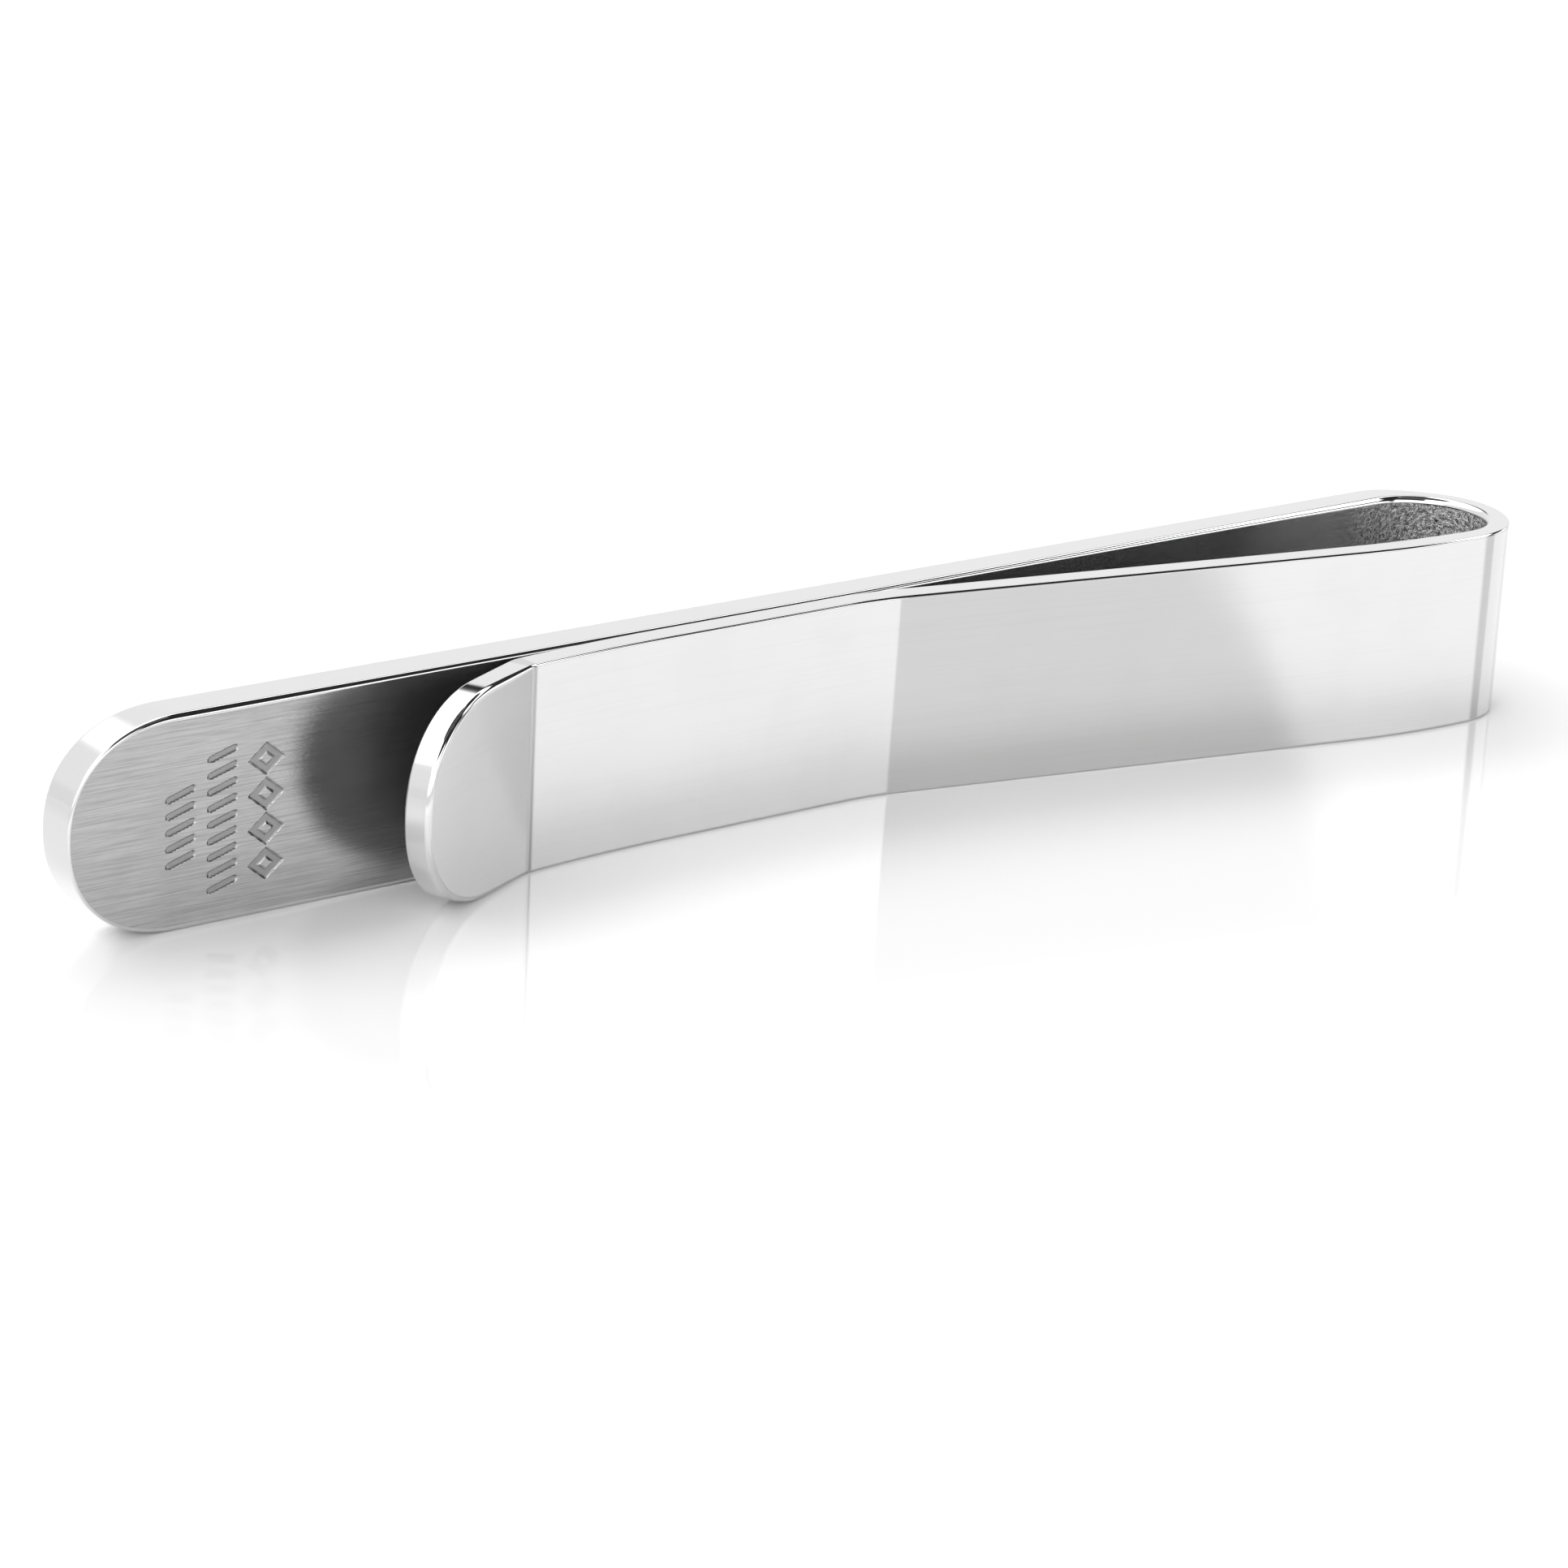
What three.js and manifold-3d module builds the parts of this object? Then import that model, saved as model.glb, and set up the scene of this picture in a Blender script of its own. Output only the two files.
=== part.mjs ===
// A slide-on tie clip: one strip of stainless steel folded into a long bar and a shorter spring leaf.
//
// Millimetres, +Z up. X runs along the bar with the bend at +X. Y runs across the fold with the
// bar at +Y. Z runs across the strip's width, and the clip stands on its long edge at z = 0.
// The origin is under the middle of the clip's box.
//
// The strip is laid out as a walk along its inner face, the face that ends up inside the fold:
// along the bar, round the bend, and back along the leaf to the tip of the lip. Each node is the
// stretch of strip between two places on that walk. They are separate nodes because the strip
// flexes at its bend: the bar is held still, the leaf and its lip swing away from it.

import * as THREE from 'three';
import { mergeVertices } from 'three/addons/utils/BufferGeometryUtils.js';
import Module from 'manifold-3d';

const wasm = await Module();
wasm.setup();

// ---- driving dimensions -------------------------------------------------------------------

const OVERALL_LENGTH = 58;
const STRIP_WIDTH = 7.1;
const EDGE_RADIUS = 0.15;

const BAR_ROOT_THICKNESS = 1.27;
const BAR_TAPER = THREE.MathUtils.degToRad(0.44);
const LEAF_THICKNESS = 0.85;
const LEAF_TAPER = THREE.MathUtils.degToRad(0.11);

const BEND_INNER_RADIUS = 2.29;
const BEND_THINNING = THREE.MathUtils.degToRad(50);

const CONVERGENCE = THREE.MathUtils.degToRad(11.7);
const RELIEF_RADIUS = 24.7;
const CONTACT_RADIUS = 13.1;
const CONTACT_LENGTH = 7.4;
const REST_CLEARANCE = 0.1;

const FLARE_RADIUS = 53.3;
const FLARE_ANGLE = THREE.MathUtils.degToRad(6.1);
const KINK_RADIUS = 1.9;
const KINK_ANGLE = THREE.MathUtils.degToRad(19.7);
const LIP_LENGTH = 6.2;
const LIP_LEAD = 1;

const END_ROUNDING = 4.05;
const END_SQUARENESS = 2.2;

const FLEX_SETBACK = 3.9;
const NODE_CLEARANCE = 0.3;

const FACET_ANGLE = THREE.MathUtils.degToRad(6);
const END_FACETS = 24;

// ---- the walk along the inner face --------------------------------------------------------

const bendCentreX = OVERALL_LENGTH / 2 - BEND_INNER_RADIUS - LEAF_THICKNESS;
const barReach = bendCentreX + OVERALL_LENGTH / 2 - BEND_INNER_RADIUS * Math.sin(BAR_TAPER);
const barRun = barReach / Math.cos(BAR_TAPER);
const barTipThickness = BAR_ROOT_THICKNESS + barRun * Math.tan(BAR_TAPER);

// The leaf drops from one bend diameter off the bar to the rest clearance over this straight.
const arcDrop = (RELIEF_RADIUS + CONTACT_RADIUS) * (1 - Math.cos(CONVERGENCE));
const leafDrop = 2 * BEND_INNER_RADIUS - REST_CLEARANCE;
const leafStraight = (leafDrop - arcDrop) / Math.sin(CONVERGENCE);

// Positive turns bend to the right, which closes the fold; negative turns open it again.
const arc = (radius, turn) => ({ length: radius * Math.abs(turn), turn });
const straight = (length) => ({ length, turn: 0 });
const stretches = {
  bar: straight(barRun),
  bend: arc(BEND_INNER_RADIUS, Math.PI),
  relief: arc(RELIEF_RADIUS, CONVERGENCE),
  approach: straight(leafStraight),
  heel: arc(CONTACT_RADIUS, -CONVERGENCE),
  contact: straight(CONTACT_LENGTH),
  flare: arc(FLARE_RADIUS, -FLARE_ANGLE),
  kink: arc(KINK_RADIUS, -KINK_ANGLE),
  lip: straight(LIP_LENGTH),
};

/** The place reached by following a stretch for a distance from a place on the strip. */
function advance(place, stretch, distance) {
  const turned = stretch.turn * (distance / stretch.length);
  const chordHeading = place.heading - turned / 2;
  const halfTurn = turned / 2;
  const chord = halfTurn === 0 ? distance : (distance * Math.sin(halfTurn)) / halfTurn;
  return {
    x: place.x + chord * Math.cos(chordHeading),
    y: place.y + chord * Math.sin(chordHeading),
    heading: place.heading - turned,
    run: place.run + distance,
  };
}

/** Lays the stretches end to end from the bar's tip, keeping where each one starts. */
function layOut() {
  let place = {
    x: -OVERALL_LENGTH / 2,
    y: -barTipThickness * Math.cos(BAR_TAPER),
    heading: BAR_TAPER,
    run: 0,
  };
  const laid = {};
  for (const [name, stretch] of Object.entries(stretches)) {
    laid[name] = { stretch, start: place };
    place = advance(place, stretch, stretch.length);
  }
  return { laid, tip: place };
}

const { laid, tip } = layOut();

/** The strip's thickness at a distance along the walk. */
function thicknessAt(run) {
  const toBend = Math.max(laid.bend.start.run - run, 0);
  const alongLeaf = Math.max(run - laid.relief.start.run, 0);
  const thinningRun = BEND_INNER_RADIUS * BEND_THINNING;
  const intoBend = run - laid.bend.start.run;
  const remaining = 1 - THREE.MathUtils.smoothstep(intoBend, 0, thinningRun);
  const plain = LEAF_THICKNESS + (BAR_ROOT_THICKNESS - LEAF_THICKNESS) * remaining;
  return plain + toBend * Math.tan(BAR_TAPER) + alongLeaf * Math.tan(LEAF_TAPER);
}

/** Places along the walk between two runs: both ends, every joint of stretches, and arc steps. */
function placesBetween(fromRun, toRun) {
  const places = [];
  for (const { stretch, start } of Object.values(laid)) {
    const from = Math.max(fromRun, start.run);
    const to = Math.min(toRun, start.run + stretch.length);
    if (to - from < 1e-6) {
      continue;
    }
    const turned = Math.abs(stretch.turn) * ((to - from) / stretch.length);
    const steps = Math.max(1, Math.ceil(turned / FACET_ANGLE));
    for (let step = places.length ? 1 : 0; step <= steps; step += 1) {
      const distance = from - start.run + ((to - from) * step) / steps;
      places.push(advance(start, stretch, distance));
    }
  }
  return places;
}

/** The point on the strip's outer face opposite a place on its inner face. */
function outerPoint(place) {
  const thickness = thicknessAt(place.run);
  const x = place.x - thickness * Math.sin(place.heading);
  const y = place.y + thickness * Math.cos(place.heading);
  return new THREE.Vector2(x, y);
}

// ---- solids -------------------------------------------------------------------------------

/** A manifold solid from a three.js geometry. */
function toSolid(geometry) {
  const bare = geometry.clone();
  bare.deleteAttribute('normal');
  bare.deleteAttribute('uv');
  const merged = mergeVertices(bare, 1e-5);
  const mesh = new wasm.Mesh({
    numProp: 3,
    vertProperties: new Float32Array(merged.attributes.position.array),
    triVerts: new Uint32Array(merged.index.array),
  });
  return new wasm.Manifold(mesh);
}

/** A three.js geometry from a manifold solid. */
function toGeometry(solid) {
  const mesh = solid.getMesh();
  const geometry = new THREE.BufferGeometry();
  geometry.setAttribute('position', new THREE.BufferAttribute(mesh.vertProperties, 3));
  geometry.setIndex(new THREE.BufferAttribute(mesh.triVerts, 1));
  geometry.computeVertexNormals();
  return geometry;
}

/** The stretch of strip between two runs, standing on its edge, with softened long edges. */
function stripGeometry(fromRun, toRun) {
  const places = placesBetween(fromRun, toRun);
  const inner = places.map((place) => new THREE.Vector2(place.x, place.y));
  const outer = places.map(outerPoint).reverse();
  const geometry = new THREE.ExtrudeGeometry(new THREE.Shape([...inner, ...outer]), {
    depth: STRIP_WIDTH - 2 * EDGE_RADIUS,
    steps: 1,
    bevelEnabled: true,
    bevelThickness: EDGE_RADIUS,
    bevelSize: EDGE_RADIUS,
    bevelOffset: -EDGE_RADIUS,
    bevelSegments: 2,
  });
  return geometry.translate(0, 0, EDGE_RADIUS);
}

/**
 * A block with one rounded end, seen square to the strip's face, that leaves a strip's free end
 * rounded when the two are intersected. The end is a superellipse: its half width grows from
 * nothing at the tip to half the strip's width one rounding length further in.
 */
function roundEndBlock(tipX, tipY, inwardHeading, reach) {
  const halfWidth = STRIP_WIDTH / 2;
  const outline = [];
  for (let facet = -END_FACETS; facet <= END_FACETS; facet += 1) {
    const angle = (facet / END_FACETS) * (Math.PI / 2);
    const along = Math.pow(Math.cos(angle), 2 / END_SQUARENESS);
    const across = Math.sign(angle) * Math.pow(Math.abs(Math.sin(angle)), 2 / END_SQUARENESS);
    outline.push(new THREE.Vector2(END_ROUNDING * (1 - along), halfWidth * (1 - across)));
  }
  outline.push(new THREE.Vector2(reach, 0));
  outline.push(new THREE.Vector2(reach, STRIP_WIDTH));
  const blockDepth = 4 * barTipThickness;
  const geometry = new THREE.ExtrudeGeometry(new THREE.Shape(outline), {
    depth: blockDepth,
    bevelEnabled: false,
  });
  geometry.translate(0, 0, -blockDepth / 2);
  geometry.rotateX(Math.PI / 2);
  geometry.rotateZ(inwardHeading);
  return geometry.translate(tipX, tipY, 0);
}

// ---- nodes --------------------------------------------------------------------------------

/** Polished or satin stainless steel. */
function steel(roughness) {
  return new THREE.MeshStandardMaterial({ color: 0xc9cbcc, roughness, metalness: 1 });
}

/** A named mesh of one node. */
function node(name, geometry, roughness) {
  const mesh = new THREE.Mesh(geometry, steel(roughness));
  mesh.name = name;
  return mesh;
}

const bendStart = laid.bend.start.run;
const flexRun = laid.relief.start.run + FLEX_SETBACK;
const lipStart = laid.kink.start.run - LIP_LEAD;
const halfGap = NODE_CLEARANCE / 2;

/** The long bar that is worn in front of the tie, thickest at its rounded free end. */
function makeBar() {
  const plain = toSolid(stripGeometry(0, bendStart - halfGap));
  const middleY = -barTipThickness / 2;
  const roundEnd = toSolid(roundEndBlock(-OVERALL_LENGTH / 2, middleY, 0, OVERALL_LENGTH));
  return node('bar', toGeometry(plain.intersect(roundEnd)), 0.3);
}

/** The bend and the root of the leaf: the part of the strip that flexes. */
function makeSpringBend() {
  return node('spring_bend', stripGeometry(bendStart + halfGap, flexRun - halfGap), 0.08);
}

/** The thinner leaf that closes on the bar and then flares gently away from it. */
function makeSpringLeaf() {
  return node('spring_leaf', stripGeometry(flexRun + halfGap, lipStart - halfGap), 0.08);
}

/** The turned-out, rounded lip that leads the tie into the clip. */
function makeLeadInLip() {
  const plain = toSolid(stripGeometry(lipStart + halfGap, tip.run));
  const inward = tip.heading + Math.PI;
  const roundEnd = toSolid(roundEndBlock(tip.x, tip.y, inward, 2 * LIP_LENGTH));
  return node('lead_in_lip', toGeometry(plain.intersect(roundEnd)), 0.08);
}

// The bar's outer face lies at y = 0 on the walk, so half the clip's depth centres it.
const bendDepth = (BAR_ROOT_THICKNESS + 2 * BEND_INNER_RADIUS) * Math.cos(BAR_TAPER) + LEAF_THICKNESS;
const clipDepth = Math.max(bendDepth, -outerPoint(tip).y);

const clip = new THREE.Group();
clip.add(makeBar(), makeSpringBend(), makeSpringLeaf(), makeLeadInLip());
clip.position.y = clipDepth / 2;

export default clip;
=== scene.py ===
"""A slide-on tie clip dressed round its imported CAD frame.

The clip is one strip of stainless steel folded into a long bar and a shorter spring leaf that
closes on it. X runs along the bar with the bend at +X, Y across the fold with the bar at +Y, and
Z across the strip, which stands on its long edge on the floor. All lengths are in metres.
"""

import bpy
import numpy as np
from mathutils import Matrix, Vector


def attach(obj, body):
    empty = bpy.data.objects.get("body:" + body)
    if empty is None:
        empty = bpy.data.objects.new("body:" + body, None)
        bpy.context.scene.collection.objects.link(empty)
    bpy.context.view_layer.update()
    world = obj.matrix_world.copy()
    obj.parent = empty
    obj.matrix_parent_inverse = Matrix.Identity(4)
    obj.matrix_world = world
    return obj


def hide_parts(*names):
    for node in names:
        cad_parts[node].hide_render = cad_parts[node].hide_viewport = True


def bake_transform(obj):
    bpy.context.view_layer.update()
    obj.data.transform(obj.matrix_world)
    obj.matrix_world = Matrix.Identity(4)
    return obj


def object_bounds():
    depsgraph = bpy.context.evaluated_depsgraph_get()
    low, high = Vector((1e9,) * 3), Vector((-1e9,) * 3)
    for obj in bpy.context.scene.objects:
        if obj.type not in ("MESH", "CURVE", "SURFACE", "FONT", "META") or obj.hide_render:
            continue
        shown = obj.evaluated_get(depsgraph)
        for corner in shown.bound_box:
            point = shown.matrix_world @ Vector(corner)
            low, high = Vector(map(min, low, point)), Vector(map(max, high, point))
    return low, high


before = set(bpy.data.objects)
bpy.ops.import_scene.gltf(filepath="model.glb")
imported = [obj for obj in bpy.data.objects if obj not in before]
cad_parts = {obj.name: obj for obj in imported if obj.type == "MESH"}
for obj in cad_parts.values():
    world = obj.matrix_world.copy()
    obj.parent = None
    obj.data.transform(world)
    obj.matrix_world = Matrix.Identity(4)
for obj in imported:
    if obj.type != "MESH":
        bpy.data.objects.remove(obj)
cad_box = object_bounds()

MM = 0.001
MICRON = 1e-6

# ---- the strip as it was bent ----------------------------------------------------------------

LENGTH = 58 * MM
WIDTH = 7.1 * MM
BAR_ROOT = 1.27 * MM
BAR_TAPER = np.radians(0.44)
LEAF = 0.85 * MM
LEAF_TAPER = np.radians(0.11)
BEND_RADIUS = 2.29 * MM
BEND_THINNING = np.radians(50)
CONVERGENCE = np.radians(11.7)
RELIEF_RADIUS = 24.7 * MM
HEEL_RADIUS = 13.1 * MM
CONTACT_LENGTH = 7.4 * MM
CONTACT_CLEARANCE = 0.1 * MM
FLARE_RADIUS = 53.3 * MM
FLARE_ANGLE = np.radians(6.1)
KINK_RADIUS = 1.9 * MM
KINK_ANGLE = np.radians(19.7)
LIP_LENGTH = 6.2 * MM
LIP_LEAD = 1 * MM
FLEX_SETBACK = 3.9 * MM
END_ROUNDING = 4.05 * MM
END_SQUARENESS = 2.2
# How far the sprung leaf settles onto the bar from its place in the frame.
SETTLED = 0.085 * MM

bend_centre_x = LENGTH / 2 - BEND_RADIUS - LEAF
bar_run = (bend_centre_x + LENGTH / 2 - BEND_RADIUS * np.sin(BAR_TAPER)) / np.cos(BAR_TAPER)
bar_tip = BAR_ROOT + bar_run * np.tan(BAR_TAPER)
arc_drop = (RELIEF_RADIUS + HEEL_RADIUS) * (1 - np.cos(CONVERGENCE))
approach = (2 * BEND_RADIUS - CONTACT_CLEARANCE - arc_drop) / np.sin(CONVERGENCE)

# Each stretch of the strip's inner face: its name, its length and how far it turns to the right.
STRETCHES = (
    ("bar", bar_run, 0),
    ("bend", BEND_RADIUS * np.pi, np.pi),
    ("relief", RELIEF_RADIUS * CONVERGENCE, CONVERGENCE),
    ("approach", approach, 0),
    ("heel", HEEL_RADIUS * CONVERGENCE, -CONVERGENCE),
    ("contact", CONTACT_LENGTH, 0),
    ("flare", FLARE_RADIUS * FLARE_ANGLE, -FLARE_ANGLE),
    ("kink", KINK_RADIUS * KINK_ANGLE, -KINK_ANGLE),
    ("lip", LIP_LENGTH, 0),
)


def lay_out():
    """Where each stretch starts: x, y, heading and run, and the same for the strip's tip.

    A stretch's chord is its length times sin(half turn) / half turn, at half its turn.
    """
    x, y = -LENGTH / 2, -bar_tip * np.cos(BAR_TAPER) + cad_depth / 2
    heading, run, starts = BAR_TAPER, 0.0, {}
    for name, length, turn in STRETCHES:
        starts[name] = (x, y, heading, run)
        chord = length * np.sinc(turn / 2 / np.pi)
        x += chord * np.cos(heading - turn / 2)
        y += chord * np.sin(heading - turn / 2)
        heading -= turn
        run += length
    starts["tip"] = (x, y, heading, run)
    return starts


cad_depth = cad_box[1][1] - cad_box[0][1]
starts = lay_out()
start_run = {name: place[3] for name, place in starts.items()}
lip_run = start_run["kink"] - LIP_LEAD
flex_run = start_run["relief"] + FLEX_SETBACK


def smooth(value):
    """Smoothstep: 3v^2 - 2v^3, with v held between 0 and 1."""
    v = np.clip(value, 0, 1)
    return v * v * (3 - 2 * v)


def walk(run):
    """x, y and heading on the inner face at each run: the stretch's start plus its chord so far.

    The sprung leaf settles onto the bar: its y rises by a smoothstep of the way from the flex to
    the contact, and its heading turns by that rise's slope, 6v(1 - v) over the way's length.
    """
    run = np.asarray(run, float)
    x, y, heading = (np.zeros(run.shape) for _ in range(3))
    for name, length, turn in STRETCHES:
        x0, y0, heading0, run0 = starts[name]
        last = name == STRETCHES[-1][0]
        inside = (run >= run0) & ((run < run0 + length) | last)
        gone = run[inside] - run0
        turned = turn * gone / length
        chord = gone * np.sinc(turned / 2 / np.pi)
        x[inside] = x0 + chord * np.cos(heading0 - turned / 2)
        y[inside] = y0 + chord * np.sin(heading0 - turned / 2)
        heading[inside] = heading0 - turned
    way = start_run["contact"] - flex_run
    settling = np.clip((run - flex_run) / way, 0, 1)
    y += SETTLED * smooth(settling)
    heading -= SETTLED * 6 * settling * (1 - settling) / way
    return x, y, heading


def thickness(run):
    """The strip's thickness at each run.

    The bar thins evenly towards the bend by its taper's tangent, the bend eases from the bar's
    root to the leaf's by a smoothstep, and the leaf thickens evenly by its own taper's tangent.
    """
    to_bend = np.maximum(start_run["bend"] - run, 0)
    along_leaf = np.maximum(run - start_run["relief"], 0)
    thinned = smooth((run - start_run["bend"]) / (BEND_RADIUS * BEND_THINNING))
    plain = BAR_ROOT - (BAR_ROOT - LEAF) * thinned
    return plain + to_bend * np.tan(BAR_TAPER) + along_leaf * np.tan(LEAF_TAPER)


# The rounding of the strip's rims, as pairs of a run and a radius there, both in millimetres. The
# inner rim is crisp at the bar's tip, softer along the bar and softest in the bend. The outer rim
# is soft along the bar and round the lip. Both are small along the leaf.
INNER_RIM = ((1.5, 0.1), (4, 0.2), (14, 0.14), (50, 0.18), (57, 0.26), (60, 0.26), (64, 0.1))
OUTER_RIM = ((0, 0.22), (50, 0.16), (62, 0.1), (101, 0.1), (103.5, 0.2))


def rim_radius(run, rim):
    """A rim's rounding at each run: straight lines between its given radii."""
    places, radii = np.array(rim).T * MM
    return np.interp(run, places, radii)


# ---- engraved marks on the bar's inner face --------------------------------------------------

# How deep the marks are cut and how wide their sloping sides are. A lozenge's breadth is a share
# of its column's pitch, and a slash leans by the same amount from end to end.
MARK_DEPTH = 0.07 * MM
MARK_SIDE = 0.05 * MM
LOZENGE_STROKE = 0.24 * MM
LOZENGE_BREADTH = 0.84
SLASH_STROKE = 0.2 * MM
SLASH_LEAN = 0.26 * MM
# Each column of marks: its place along the bar from the tip, how many, their pitch across the
# strip and their height along the bar.
LOZENGES = (7.05 * MM, 4, 1.16 * MM, 1.14 * MM)
LONG_HATCH = (5.47 * MM, 9, 0.54 * MM, 1.06 * MM)
SHORT_HATCH = (3.97 * MM, 5, 0.54 * MM, 1.04 * MM)
# The marks lie between two runs, reach this far either side of the middle, and sit a little low.
MARKED_FROM, MARKED_TO = 3.3 * MM, 7.8 * MM
MARKS_REACH = 2.75 * MM
MARKS_LOW = 0.15 * MM


def column_centres(count, pitch):
    """Mark centres across the strip, evenly spaced about a line just below its middle."""
    return (np.arange(count) - (count - 1) / 2) * pitch - MARKS_LOW


def lozenge_distance(along, across, length, breadth):
    """Distance to a rhombus outline: (|a| / half length + |c| / half breadth - 1) made a length."""
    half_length, half_breadth = length / 2, breadth / 2
    level = np.abs(along) / half_length + np.abs(across) / half_breadth - 1
    return np.abs(level) * half_length * half_breadth / np.hypot(half_length, half_breadth)


def slash_distance(along, across, length, lean):
    """Distance to a leaning stroke: to the nearest point of the segment it follows."""
    reach = np.hypot(length / 2, lean / 2)
    unit_along, unit_across = length / 2 / reach, lean / 2 / reach
    on = np.clip(along * unit_along + across * unit_across, -reach, reach)
    return np.hypot(along - on * unit_along, across - on * unit_across)


def mark_depth(run, across):
    """How deep the face is cut: full inside a stroke, eased to nothing over its sloping side.

    The distance to the nearest stroke's edge is the distance to its middle line less half its
    width, and the cut is a smoothstep of that distance over the side's width.
    """
    nearest = np.full(run.shape, np.inf)
    place, count, pitch, length = LOZENGES
    drawn = length - LOZENGE_STROKE, pitch * LOZENGE_BREADTH - LOZENGE_STROKE
    for centre in column_centres(count, pitch):
        gap = lozenge_distance(run - place, across - centre, *drawn)
        nearest = np.minimum(nearest, gap - LOZENGE_STROKE / 2)
    for place, count, pitch, length in (LONG_HATCH, SHORT_HATCH):
        for centre in column_centres(count, pitch):
            gap = slash_distance(run - place, across - centre, length - SLASH_STROKE, SLASH_LEAN)
            nearest = np.minimum(nearest, gap - SLASH_STROKE / 2)
    return MARK_DEPTH * smooth(0.5 - nearest / MARK_SIDE)


# ---- the strip's surface ---------------------------------------------------------------------

# Steps round each rim's quarter round, and the spacing of stations along the strip.
ROUND_STEPS = 8
PLAIN_PITCH = 0.3 * MM
MARKED_PITCH = 0.045 * MM
STRAIGHT_PITCH = 0.8 * MM
FINEST_TURN = np.radians(1.5)
OUTLINE_STEPS = 4000
WELD = 1e-6 * MM
SLOPE_STEP = 0.004 * MM
MARKED_ROWS = 124
SIDE_ROWS = 3
PLAIN_ROWS = 15
TRIANGLE, QUAD = 3, 4


def end_outline(marked_from=None):
    """The rounded end from its tip to its full width, and its outward normal.

    A superellipse: (d / rounding)^n + (h / half width)^n = 1, with d measured back from the full
    width. Stations are evenly spaced along the curve, more closely past marked_from.
    """
    angle = np.linspace(0, np.pi / 2, OUTLINE_STEPS)
    back = END_ROUNDING * np.cos(angle) ** (2 / END_SQUARENESS)
    half = WIDTH / 2 * np.sin(angle) ** (2 / END_SQUARENESS)
    travelled = np.r_[0, np.cumsum(np.hypot(np.diff(back), np.diff(half)))]
    total = travelled[-1]
    split = total if marked_from is None else np.interp(marked_from, END_ROUNDING - back, travelled)
    even = np.linspace(0, split, int(np.ceil(split / PLAIN_PITCH)) + 1)
    if split < total:
        steps = int(np.ceil((total - split) / MARKED_PITCH))
        even = np.r_[even[:-1], np.linspace(split, total, steps + 1)]
    back, half = np.interp(even, travelled, back), np.interp(even, travelled, half)
    tipward = (back / END_ROUNDING) ** (END_SQUARENESS - 1) / END_ROUNDING
    sideways = (half / (WIDTH / 2)) ** (END_SQUARENESS - 1) / (WIDTH / 2)
    size = np.hypot(tipward, sideways)
    return END_ROUNDING - back, half, tipward / size, sideways / size


def run_stations(run_from, run_to):
    """Runs between two places, closer together where the strip turns or carries its marks."""
    spans = []
    for name, length, turn in STRETCHES:
        low = max(run_from, start_run[name])
        high = min(run_to, start_run[name] + length)
        if high - low < WELD:
            continue
        cuts = [low, high]
        if low < MARKED_TO < high:
            cuts = [low, MARKED_TO, high]
        for begin, end in zip(cuts, cuts[1:]):
            pitch = MARKED_PITCH if end <= MARKED_TO else STRAIGHT_PITCH
            turned = abs(turn) * (end - begin) / length
            steps = int(max(np.ceil((end - begin) / pitch), np.ceil(turned / FINEST_TURN)))
            spans.append(np.linspace(begin, end, steps, endpoint=False))
    return np.r_[np.concatenate(spans), run_to]


def station_outline(run_from, run_to):
    """Run, half width and the outline's normal (along the run, across) at every station.

    The strip is full width between its two rounded ends, which lie at run 0 and at the tip.
    """
    rounded_start, rounded_end = run_from == 0, run_to == start_run["tip"]
    low = run_from + END_ROUNDING * rounded_start
    high = run_to - END_ROUNDING * rounded_end
    run = run_stations(low, high)
    half = np.full(run.shape, WIDTH / 2)
    ahead, aside = np.zeros(run.shape), np.ones(run.shape)
    if rounded_start:
        back, end_half, tipward, sideways = end_outline(MARKED_FROM)
        run, half = np.r_[back[:-1], run], np.r_[end_half[:-1], half]
        ahead, aside = np.r_[-tipward[:-1], ahead], np.r_[sideways[:-1], aside]
    if rounded_end:
        back, end_half, tipward, sideways = end_outline()
        run, half = np.r_[run, run_to - back[-2::-1]], np.r_[half, end_half[-2::-1]]
        ahead, aside = np.r_[ahead, tipward[-2::-1]], np.r_[aside, sideways[-2::-1]]
    return run, half, ahead, aside


def section(inner_rows, outer_rows):
    """The strip's section as a closed loop: inner face up, top edge, outer face down, bottom edge.

    Each point has its inset from the outline, its share of the half width, its depth below the
    inner face or above the outer one, which face that depth is from, and its normal's parts
    outward and through the strip. An edge is a quarter round, a flat wall and a quarter round:
    inset 1 - sin w and depth 1 - cos w, in radii, as w goes from 0 to a right angle.
    """
    quarter = np.linspace(0, np.pi / 2, ROUND_STEPS + 1)
    sunk, inset = 1 - np.cos(quarter), 1 - np.sin(quarter)
    out, through = np.sin(quarter), np.cos(quarter)
    inner, outer = inner_rows[1:-1], outer_rows[-2:0:-1]
    flat, plain = np.ones(inner.shape), np.ones(outer.shape)
    edge_inset = np.r_[inset, inset[::-1]]
    edge_sunk = np.r_[sunk, sunk[::-1]]
    edge_out = np.r_[out, out[::-1]]
    edge_through = np.r_[-through, through[::-1]]
    edge_outer = np.r_[np.zeros(quarter.shape), np.ones(quarter.shape)]
    top = np.ones(edge_inset.shape)
    return {
        "inset": np.r_[flat, edge_inset, plain, edge_inset[::-1]],
        "share": np.r_[inner, top, outer, -top],
        "sunk": np.r_[0 * inner, edge_sunk, 0 * outer, edge_sunk[::-1]],
        "outer": np.r_[0 * inner, edge_outer, 0 * outer + 1, edge_outer[::-1]],
        "out": np.r_[0 * inner, edge_out, 0 * outer, edge_out[::-1]],
        "through": np.r_[0 * inner - 1, edge_through, 0 * outer + 1, edge_through[::-1]],
        "inner_face": np.r_[0 * inner + 1, 0 * top, 0 * outer, 0 * top],
    }


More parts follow.
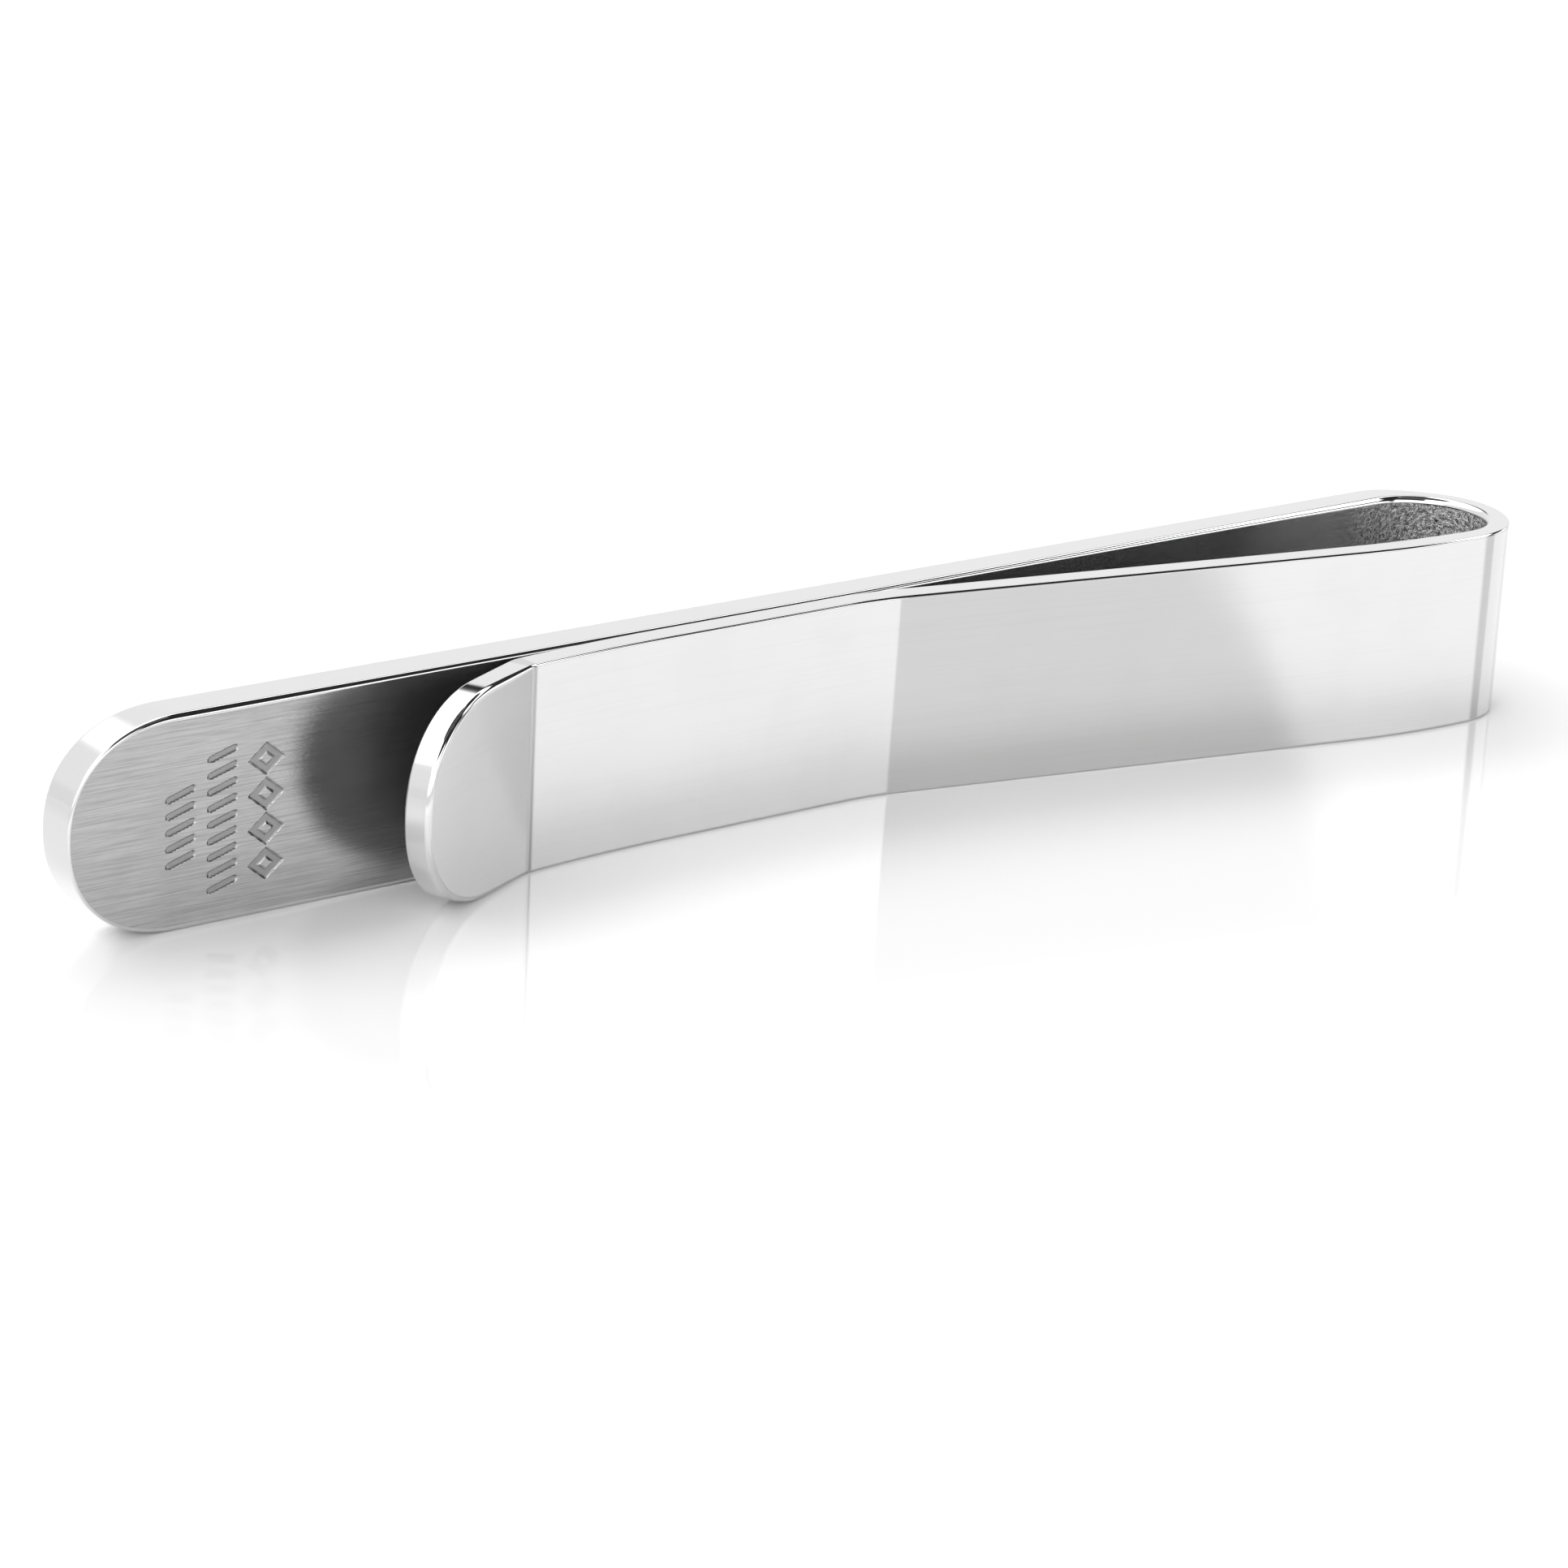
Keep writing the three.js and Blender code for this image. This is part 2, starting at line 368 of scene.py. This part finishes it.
def strip_grid(run_from, run_to, inner_rows, outer_rows):
    """Points, normals and unrolled places of a length of strip, on a station by section grid.

    A point stands off the walk by its depth along the face's normal, and across by its share of
    the outline's half width less its inset. Marks lower the inner face and tilt its normal.
    """
    loop = section(inner_rows, outer_rows)
    run, half, ahead, aside = (part[:, None] for part in station_outline(run_from, run_to))
    rim = np.where(loop["outer"] == 1, rim_radius(run, OUTER_RIM), rim_radius(run, INNER_RIM))
    run = run - loop["inset"] * rim * ahead
    across = (half - loop["inset"] * rim * aside) * loop["share"]
    thick = thickness(run)
    cut = loop["inner_face"] * mark_depth(run, across)
    depth = np.where(loop["outer"] == 1, thick - loop["sunk"] * rim, loop["sunk"] * rim) + cut
    x, y, heading = walk(np.clip(run, 0, start_run["tip"]))
    sine, cosine = np.sin(heading), np.cos(heading)
    points = np.stack([x - depth * sine, y + depth * cosine, across + WIDTH / 2], -1)

    step = SLOPE_STEP
    taper = loop["outer"] * loop["through"] * (thickness(run + step) - thickness(run - step))
    slope_run = mark_depth(run + step, across) - mark_depth(run - step, across)
    slope_across = mark_depth(run, across + step) - mark_depth(run, across - step)
    along = loop["out"] * ahead + (loop["inner_face"] * slope_run - taper) / (2 * step)
    sideways = loop["out"] * aside * np.sign(loop["share"])
    sideways = sideways + loop["inner_face"] * slope_across / (2 * step)
    through = loop["through"] + 0 * along
    x_part, y_part = along * cosine - through * sine, along * sine + through * cosine
    normals = np.stack([x_part, y_part, sideways], -1)
    normals /= np.linalg.norm(normals, axis=-1, keepdims=True)
    places = np.stack([run, depth, across], -1)
    return points, normals, places, loop


def weld(points):
    """The first of each distinct point, and each point's number among the distinct ones.

    Points are compared to a millionth of a millimetre, so the rounded tips close on themselves.
    """
    keys = np.round(points / WELD).astype(np.int64)
    _, first, number = np.unique(keys, axis=0, return_index=True, return_inverse=True)
    return first, number.reshape(-1)


def grid_corners(stations, ring):
    """Corners of the quads of a station by section grid whose section closes on itself."""
    station, place = np.meshgrid(np.arange(stations - 1), np.arange(ring), indexing="ij")
    after = (place + 1) % ring
    low, high = station * ring, (station + 1) * ring
    return np.stack([low + place, high + place, high + after, low + after], -1).reshape(-1, 4)


def satin_strip(loop):
    """True for each strip of faces between neighbouring section points on the inner face."""
    on_face = (loop["inner_face"] == 1) | ((loop["through"] == -1) & (loop["sunk"] == 0))
    return on_face & np.roll(on_face, -1)


def strip_piece(name, run_from, run_to, inner_rows, outer_rows):
    """A length of the strip as one closed mesh, with its normals set from the shape's formula.

    Quads whose corners meet at a tip lose the repeated corner, and a cut end gets a flat cap.
    """
    points, normals, places, loop = strip_grid(run_from, run_to, inner_rows, outer_rows)
    stations, ring = points.shape[:2]
    points, normals, places = (part.reshape(-1, 3) for part in (points, normals, places))
    first, number = weld(points)
    corners = grid_corners(stations, ring)
    kept = number[corners] != number[np.roll(corners, 1, axis=1)]
    sides = kept.sum(axis=1)
    whole = sides >= TRIANGLE
    satin = np.tile(satin_strip(loop), stations - 1)[whole]
    sides = sides[whole]
    used = corners[whole][kept[whole]]
    corner_points, corner_normals = number[used], normals[used]
    for at_end, capped in ((0, run_from > 0), (1, run_to < start_run["tip"])):
        if not capped:
            continue
        rim = at_end * (stations - 1) * ring + np.arange(ring)[:: 2 * at_end - 1]
        heading = walk(np.array([run_to if at_end else run_from]))[2][0]
        ahead = (2 * at_end - 1) * np.array([np.cos(heading), np.sin(heading), 0])
        corner_points = np.r_[corner_points, number[rim]]
        corner_normals = np.r_[corner_normals, np.tile(ahead, (ring, 1))]
        sides, satin = np.r_[sides, ring], np.r_[satin, False]

    mesh = bpy.data.meshes.new(name)
    mesh.vertices.add(len(first))
    mesh.loops.add(len(corner_points))
    mesh.polygons.add(len(sides))
    mesh.vertices.foreach_set("co", points[first].astype(np.float32).reshape(-1))
    mesh.loops.foreach_set("vertex_index", corner_points.astype(np.int32))
    mesh.polygons.foreach_set("loop_start", np.r_[0, np.cumsum(sides)[:-1]].astype(np.int32))
    mesh.polygons.foreach_set("material_index", satin.astype(np.int32))
    mesh.polygons.foreach_set("use_smooth", sides <= QUAD)
    mesh.update(calc_edges=True)
    unrolled = mesh.attributes.new("strip_place", "FLOAT_VECTOR", "POINT")
    unrolled.data.foreach_set("vector", places[first].astype(np.float32).reshape(-1))
    edge = mesh.attributes.new("edge", "FLOAT", "POINT")
    edge.data.foreach_set("value", np.tile(loop["out"], stations)[first].astype(np.float32))
    mesh.normals_split_custom_set(corner_normals)
    piece = bpy.data.objects.new(name, mesh)
    bpy.context.scene.collection.objects.link(piece)
    return piece


# Rows of points along the faces, as shares of the half width: close together where marks are cut.
marks_share = MARKS_REACH / (WIDTH / 2)
side_rows = np.linspace(marks_share, 1, SIDE_ROWS + 1)[1:]
marked_rows = np.linspace(-marks_share, marks_share, MARKED_ROWS)
marked_rows = np.r_[-side_rows[::-1], marked_rows, side_rows]
plain_rows = np.linspace(-1, 1, PLAIN_ROWS)

bar = strip_piece("bar_strip", 0, start_run["bend"], marked_rows, plain_rows)
bend = strip_piece("spring_bend_strip", start_run["bend"], flex_run, plain_rows, plain_rows)
leaf = strip_piece("spring_leaf_strip", flex_run, lip_run, plain_rows, plain_rows)
lip = strip_piece("lead_in_lip_strip", lip_run, start_run["tip"], plain_rows, plain_rows)
clip_pieces = (bar, bend, leaf, lip)

# ---- materials -------------------------------------------------------------------------------


class Nodes:
    """A node tree being laid out: each call adds a node and gives back its output."""

    def __init__(self, tree):
        self.tree = tree

    def add(self, kind, output=0, inputs=(), **settings):
        """A node with its settings made and its inputs given as numbers or as other outputs."""
        made = self.tree.nodes.new(kind)
        for name, value in settings.items():
            setattr(made, name, value)
        for socket, value in dict(inputs).items():
            if isinstance(value, bpy.types.NodeSocket):
                self.tree.links.new(value, made.inputs[socket])
            else:
                made.inputs[socket].default_value = value
        return made.outputs[output]

    def math(self, operation, first, second=0.0):
        """One sum on numbers or outputs."""
        return self.add("ShaderNodeMath", inputs={0: first, 1: second}, operation=operation)

    def total(self, base, *shares):
        """A base plus each share times its weight."""
        for share, weight in shares:
            base = self.math("ADD", base, self.math("MULTIPLY", share, weight))
        return base

    def ramp(self, value, low, high, to_low=0.0, to_high=1.0):
        """A value eased by smoothstep from one range to another."""
        given = {"Value": value, "From Min": low, "From Max": high}
        wanted = {"To Min": to_low, "To Max": to_high}
        settings = {"interpolation_type": "SMOOTHSTEP"}
        return self.add("ShaderNodeMapRange", inputs=given | wanted, **settings)

    def between(self, value, rise, fall):
        """1 between two ranges of a value, eased up from 0 over the first and down over the second."""
        return self.math("MULTIPLY", self.ramp(value, *rise), self.ramp(value, *fall, 1.0, 0.0))


class Finish(Nodes):
    """A material's node tree, with its shader."""

    def __init__(self, name):
        self.material = bpy.data.materials.new(name)
        self.material.use_nodes = True
        super().__init__(self.material.node_tree)
        self.shader = self.tree.nodes["Principled BSDF"]

    def unrolled(self, stretch=(1, 1, 1)):
        """The unrolled place on the strip in millimetres, squeezed by a factor on each axis."""
        place = self.add("ShaderNodeAttribute", output="Vector", attribute_name="strip_place")
        scale = tuple(factor / MM for factor in stretch)
        return self.add("ShaderNodeVectorMath", inputs={0: place, 1: scale}, operation="MULTIPLY")

    def noise(self, stretch, scale, detail, roughness=0.5):
        """Smooth noise on the unrolled strip."""
        grain = {"Scale": scale, "Detail": detail, "Roughness": roughness}
        return self.add("ShaderNodeTexNoise", inputs={"Vector": self.unrolled(stretch)} | grain)

    def tint(self, factor, low, high):
        """A colour between two, by a factor."""
        sockets = {0: factor, 6: low, 7: high}
        return self.add("ShaderNodeMix", output=2, inputs=sockets, data_type="RGBA")

    def raise_by(self, height, distance, under=None):
        """A bump of a height in metres, on top of another bump if one is given."""
        inputs = {"Height": height, "Distance": distance, "Strength": 1.0}
        if under is not None:
            inputs["Normal"] = under
        return self.add("ShaderNodeBump", inputs=inputs)

    def connect(self, **outputs):
        """Joins outputs to the shader's sockets, whose names have underscores for spaces."""
        for name, output in outputs.items():
            self.tree.links.new(output, self.shader.inputs[name.replace("_", " ")])


def grey(level):
    """An opaque grey."""
    return level, level, level, 1


# Where the finishes, the painted shade at the kink's crease and the painted glints in the bend change
# along the unrolled strip, in millimetres: each has the stretch over which it comes in and the stretch
# over which it goes out.
# The kink's crease gets painted shade: a darker line in the polished steel's colour.
PAINTED_CREASE_SHADE_IN, PAINTED_CREASE_SHADE_OUT = (101.0, 101.15), (101.6, 101.8)
# The bend's crumpled grain is real in its bumps, but its colour there is mottled from dark to bright
# as painted glints and shade.
CRUMPLE_AND_PAINTED_GLINTS_IN, CRUMPLE_AND_PAINTED_GLINTS_OUT = (52.5, 56.0), (62.0, 66.0)
# The depths between which a mark turns dark, in millimetres.
MARK_SHADED = (0.02, 0.06)


def polished_steel():
    """Mirror-polished stainless steel: faint waves, wiping lines and smudges, and softer rims.

    The kink's crease carries painted shade: a slightly darker line across the strip.
    """
    finish = Finish("polished_steel")
    finish.shader.inputs["Metallic"].default_value = 1
    edge = finish.add("ShaderNodeAttribute", output="Fac", attribute_name="edge")
    worn = finish.ramp(finish.math("ABSOLUTE", edge), 0.25, 0.75)
    run = finish.add("ShaderNodeSeparateXYZ", inputs={0: finish.unrolled()})
    # Painted shade: a mask across the kink's crease.
    painted_crease_shade = finish.between(run, PAINTED_CREASE_SHADE_IN, PAINTED_CREASE_SHADE_OUT)
    smudge = finish.ramp(finish.noise((1, 1, 1), 0.35, 4.0, 0.6), 0.42, 0.72)
    wiping = finish.noise((0.12, 6, 9), 1.0, 4.0, 0.65)
    wiped = finish.ramp(wiping, 0.45, 0.75, 0.0, 0.6)
    steel = finish.tint(smudge, grey(0.67), grey(0.655))
    steel = finish.tint(wiped, steel, grey(0.63))
    steel = finish.tint(finish.math("MULTIPLY", worn, wiping), steel, grey(0.72))
    # Painted shade: the line along the kink's crease is darkened in the base colour.
    steel = finish.tint(painted_crease_shade, steel, grey(0.56))
    rough = finish.total(0.025, (smudge, 0.02), (wiping, 0.015), (worn, 0.02))
    waves = finish.raise_by(finish.noise((1, 1, 1), 0.16, 1.0), 12 * MICRON)
    lines = finish.raise_by(wiping, 0.3 * MICRON, under=waves)
    finish.connect(Base_Color=steel, Roughness=rough, Normal=lines)
    return finish.material


def satin_steel():
    """Satin stainless steel: brushed along the strip, crumpled by bending, with painted glints and
    shade mottling the bend's colour, darker in its marks.

    The brushing blurs reflections across the strip far more than along it.
    """
    finish = Finish("satin_steel")
    finish.shader.inputs["Metallic"].default_value = 1
    finish.shader.inputs["Anisotropic"].default_value = 0.85
    finish.shader.inputs["Anisotropic Rotation"].default_value = 0.25
    apart = finish.add("ShaderNodeSeparateXYZ", inputs={0: finish.unrolled()}).node.outputs
    in_bend = finish.between(apart["X"], CRUMPLE_AND_PAINTED_GLINTS_IN, CRUMPLE_AND_PAINTED_GLINTS_OUT)
    in_mark = finish.ramp(apart["Y"], *MARK_SHADED)
    brushing = finish.noise((0.22, 1, 12), 1.4, 5.0, 0.72)
    brushed = finish.ramp(brushing, 0.4, 0.66, 0.0, 0.8)
    cloud = finish.ramp(finish.noise((1, 1, 1), 0.5, 3.0, 0.6), 0.35, 0.7)
    # The crumple noise raises real folds in the bend and also sets its painted glints and shade.
    crumple_and_painted_glints = finish.ramp(finish.noise((1, 1, 1), 6.5, 4.0, 0.65), 0.36, 0.64)
    steel = finish.tint(cloud, grey(0.48), grey(0.44))
    steel = finish.tint(brushed, steel, grey(0.31))
    # Painted glints and shade: the bend's colour is mottled between dark and bright grey by the
    # crumple noise.
    steel = finish.tint(in_bend, steel, finish.tint(crumple_and_painted_glints, grey(0.2), grey(0.8)))
    steel = finish.tint(in_mark, steel, grey(0.33))
    rough = finish.total(0.15, (brushing, 0.08), (in_mark, 0.12), (in_bend, -0.05))
    grain = finish.raise_by(brushing, 4 * MICRON)
    folds = finish.raise_by(finish.math("MULTIPLY", crumple_and_painted_glints, in_bend), 40 * MICRON, under=grain)
    finish.connect(Base_Color=steel, Roughness=rough, Normal=folds)
    return finish.material


finishes = polished_steel(), satin_steel()
for piece in clip_pieces:
    for material in finishes:
        piece.data.materials.append(material)

# ---- camera ----------------------------------------------------------------------------------

# How far the camera looks down, how far it is rolled and how far it is turned from +Y, in radians.
PITCH, ROLL, YAW = 0.335284, 0.0496985, 0.660341
CAMERA_PLACE = (-0.09494, -0.118534, 0.053832)
SENSOR_WIDTH = 36
LENS = 109.143
NEAREST_SEEN = 1 * MM


def studio_camera():
    """The scene's camera, its axes turned by yaw, then pitch, then roll.

    Level ahead is (sin yaw, cos yaw, 0). Pitch tips it down, and roll turns right towards up.
    """
    data = bpy.data.cameras.new("studio_camera")
    data.sensor_width = SENSOR_WIDTH
    data.lens = LENS
    data.clip_start = NEAREST_SEEN
    camera = bpy.data.objects.new("studio_camera", data)
    bpy.context.scene.collection.objects.link(camera)
    bpy.context.scene.camera = camera
    upright = np.array([0, 0, 1])
    level_right = np.array([np.cos(YAW), -np.sin(YAW), 0])
    level_ahead = np.array([np.sin(YAW), np.cos(YAW), 0])
    ahead = level_ahead * np.cos(PITCH) - upright * np.sin(PITCH)
    above = level_ahead * np.sin(PITCH) + upright * np.cos(PITCH)
    right = level_right * np.cos(ROLL) + above * np.sin(ROLL)
    up = above * np.cos(ROLL) - level_right * np.sin(ROLL)
    turned = Matrix((right, up, -ahead)).transposed().to_4x4()
    camera.matrix_world = Matrix.Translation(CAMERA_PLACE) @ turned


studio_camera()

# ---- floor and light -------------------------------------------------------------------------

FLOOR_REACH = 3
FLOOR_SHADE = 0.9
FLOOR_ROUGHNESS = 0.05


def glossy_floor():
    """A square pale floor at height 0, with a low gloss."""
    near, far = -FLOOR_REACH, FLOOR_REACH
    corners = [(near, near, 0), (far, near, 0), (far, far, 0), (near, far, 0)]
    mesh = bpy.data.meshes.new("floor")
    mesh.from_pydata(corners, [], [(0, 1, 2, 3)])
    gloss = Finish("floor_gloss")
    gloss.shader.inputs["Base Color"].default_value = grey(FLOOR_SHADE)
    gloss.shader.inputs["Roughness"].default_value = FLOOR_ROUGHNESS
    mesh.materials.append(gloss.material)
    floor = bpy.data.objects.new("floor", mesh)
    bpy.context.scene.collection.objects.link(floor)
    return floor


glossy_floor()

# The studio is a soft surround whose brightness is set by direction: the compass direction from
# +X towards +Y, and the height above the floor, both in degrees. Each patch has its range and its
# soft margin in both, then its brightness, and covers the patches before it.
SURROUND = 1.0
PATCHES = (
    ("upper room", (-400, 400, 1), (30, 200, 4), 2.9),
    ("low front", (-76, 18, 2), (10, 30, 4), 0.45),
    ("side fill", (-170, -78, 3), (6, 44, 4), 1.9),
    ("back wall", (20, 180, 10), (9, 34, 3), 1.1),
    ("dark ceiling", (-400, 400, 1), (67, 200, 3), 0.1),
    ("dark flag", (-60, 48, 5), (47, 68, 2.5), 0.03),
    ("low flag", (-75, -32, 4), (26, 50, 2), 0.03),
    ("side flag", (-138, -56, 6), (42, 68, 3), 0.03),
    ("slot flag", (-22, 62, 3), (25, 38, 2), 0.03),
    ("gap", (-36, -24, 2), (8, 24, 2), 0.2),
    ("fill", (-21, 14, 2), (8, 24, 2), 1.65),
)

# The softbox covers them all. It leans: its two sides move by the slant for each degree of height
# from its middle. One side is crisp and the other soft.
SOFTBOX = 2.0
SOFTBOX_HEIGHTS = (10, 24, 2)
SOFTBOX_MIDDLE = 17.25
SOFTBOX_SLANT = 0.65
CRISP_SIDE, SOFT_SIDE = (-69.3, -68.8), (-42, -34)


def band(studio, value, low, high, soft):
    """1 between two values, eased to 0 over a soft margin about each."""
    return studio.between(value, (low - soft, low + soft), (high - soft, high + soft))


def cover(studio, light, share, brightness):
    """The light so far with a patch over it: light + share (brightness - light)."""
    change = studio.math("MULTIPLY", share, studio.math("SUBTRACT", brightness, light))
    return studio.math("ADD", light, change)


def studio_light():
    """The world's brightness in every direction: the surround, the patches and the softbox."""
    world = bpy.data.worlds.new("studio")
    bpy.context.scene.world = world
    world.use_nodes = True
    studio = Nodes(world.node_tree)
    towards = studio.add("ShaderNodeTexCoord", output="Generated")
    parts = studio.add("ShaderNodeSeparateXYZ", inputs={0: towards}).node.outputs
    turned = studio.math("ARCTAN2", parts["Y"], parts["X"])
    compass = studio.math("MULTIPLY", turned, np.degrees(1))
    height = studio.math("MULTIPLY", studio.math("ARCSINE", parts["Z"]), np.degrees(1))
    light = SURROUND
    for name, directions, heights, brightness in PATCHES:
        sides, rims = band(studio, compass, *directions), band(studio, height, *heights)
        light = cover(studio, light, studio.math("MULTIPLY", sides, rims), brightness)
        light.node.label = name
    above_middle = studio.math("SUBTRACT", height, SOFTBOX_MIDDLE)
    leaning = studio.math("MULTIPLY", above_middle, SOFTBOX_SLANT)
    sides = studio.between(studio.math("SUBTRACT", compass, leaning), CRISP_SIDE, SOFT_SIDE)
    rims = band(studio, height, *SOFTBOX_HEIGHTS)
    light = cover(studio, light, studio.math("MULTIPLY", sides, rims), SOFTBOX)
    sky = world.node_tree.nodes["Background"]
    sky.inputs["Color"].default_value = grey(1)
    world.node_tree.links.new(light, sky.inputs["Strength"])


studio_light()
bpy.context.scene.view_settings.view_transform = "Standard"

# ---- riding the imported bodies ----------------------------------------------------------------

for piece, node, body, slot in (
    (bar, "bar", "bar_side", "bar_steel"),
    (leaf, "spring_leaf", "leaf_side", "spring_steel"),
    (lip, "lead_in_lip", "leaf_side", "spring_steel"),
):
    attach(piece, body)
    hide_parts(node)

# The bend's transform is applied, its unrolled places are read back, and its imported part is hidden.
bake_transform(bend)
places = np.empty(3 * len(bend.data.vertices), np.float32)
bend.data.attributes["strip_place"].data.foreach_get("vector", places)
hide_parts("spring_bend")
